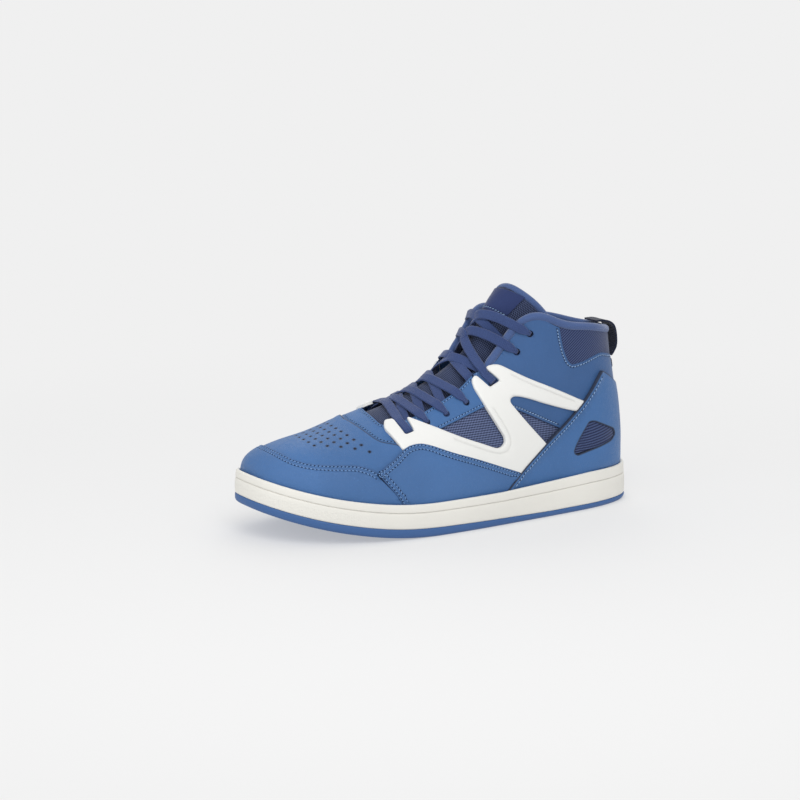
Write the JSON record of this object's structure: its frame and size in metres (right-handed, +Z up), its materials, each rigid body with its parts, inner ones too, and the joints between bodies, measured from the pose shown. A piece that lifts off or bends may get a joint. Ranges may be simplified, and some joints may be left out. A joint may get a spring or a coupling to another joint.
{
  "type": "basketball high top shoe",
  "caption": "Lace-up basketball high top for the left foot, with a cupsole, layered leather and mesh upper, moulded side cage, padded rolled collar, tongue and pull loop.",
  "frame": {"origin": "on the ground, under the middle of the shoe's length", "axes": "+X to the toe, +Y to the outer side of the left foot, +Z up"},
  "size_m": [0.3046, 0.1095, 0.1667],
  "materials": {
    "outsole_rubber": "matt blue rubber",
    "cup_rubber": "matt off-white rubber with a fine texture",
    "foam": "hidden foam",
    "board": "hidden stiffened board",
    "lining_textile": "knitted navy lining",
    "vamp_leather": "lightly tumbled blue leather",
    "panel_leather": "smooth blue leather",
    "mesh_textile": "open navy mesh",
    "rib_textile": "ribbed navy textile",
    "roll_textile": "soft blue rolled textile",
    "label_textile": "navy patch",
    "lace_textile": "flat woven lace",
    "webbing": "navy webbing",
    "cage_moulded": "satin off-white moulded overlay"
  },
  "bodies": {
    "shoe": {"outsole": "outsole_rubber", "cup_wall": "cup_rubber", "foam_midsole": "foam", "strobel_board": "board", "toe_puff": "board", "vamp": "vamp_leather", "toe_wrap": "panel_leather", "throat_strip": "vamp_leather", "quarter_lateral": "panel_leather", "quarter_medial": "panel_leather", "mesh_lateral": "mesh_textile", "mesh_medial": "mesh_textile", "eyestay_lateral": "vamp_leather", "eyestay_medial": "vamp_leather", "ankle_lateral": "panel_leather", "ankle_medial": "panel_leather", "cage_lateral": "cage_moulded", "cage_medial": "cage_moulded", "heel_panel": "panel_leather", "heel_insert_lateral": "rib_textile", "heel_insert_medial": "rib_textile", "heel_counter": "board", "collar_mesh": "rib_textile", "collar_foam": "foam", "collar_roll": "roll_textile", "lining_front": "lining_textile", "lining_collar": "lining_textile", "laces": "lace_textile", "pull_anchor": "webbing"},
    "tongue": {"tongue_body": "mesh_textile", "tongue_roll_edge": "roll_textile", "tongue_label": "label_textile"},
    "footbed": {"sockliner": "lining_textile"},
    "pull_tab": {"pull_loop": "webbing"}
  },
  "joints": [
    {"name": "tongue_tilt", "type": "hinge", "parent": "shoe", "child": "tongue", "pos_m": [0.087, 0, 0.063], "axis": [0, -1, 0], "range_deg": [0, 6]},
    {"name": "footbed_lift", "type": "hinge", "parent": "shoe", "child": "footbed", "pos_m": [0.142, 0, 0.034], "axis": [0, 1, 0], "range_deg": [0, 5]},
    {"name": "pull_tab_swing", "type": "hinge", "parent": "shoe", "child": "pull_tab", "pos_m": [-0.136, 0, 0.106], "axis": [0.4141, 0, 0.9102], "range_deg": [-12, 12]}
  ]
}
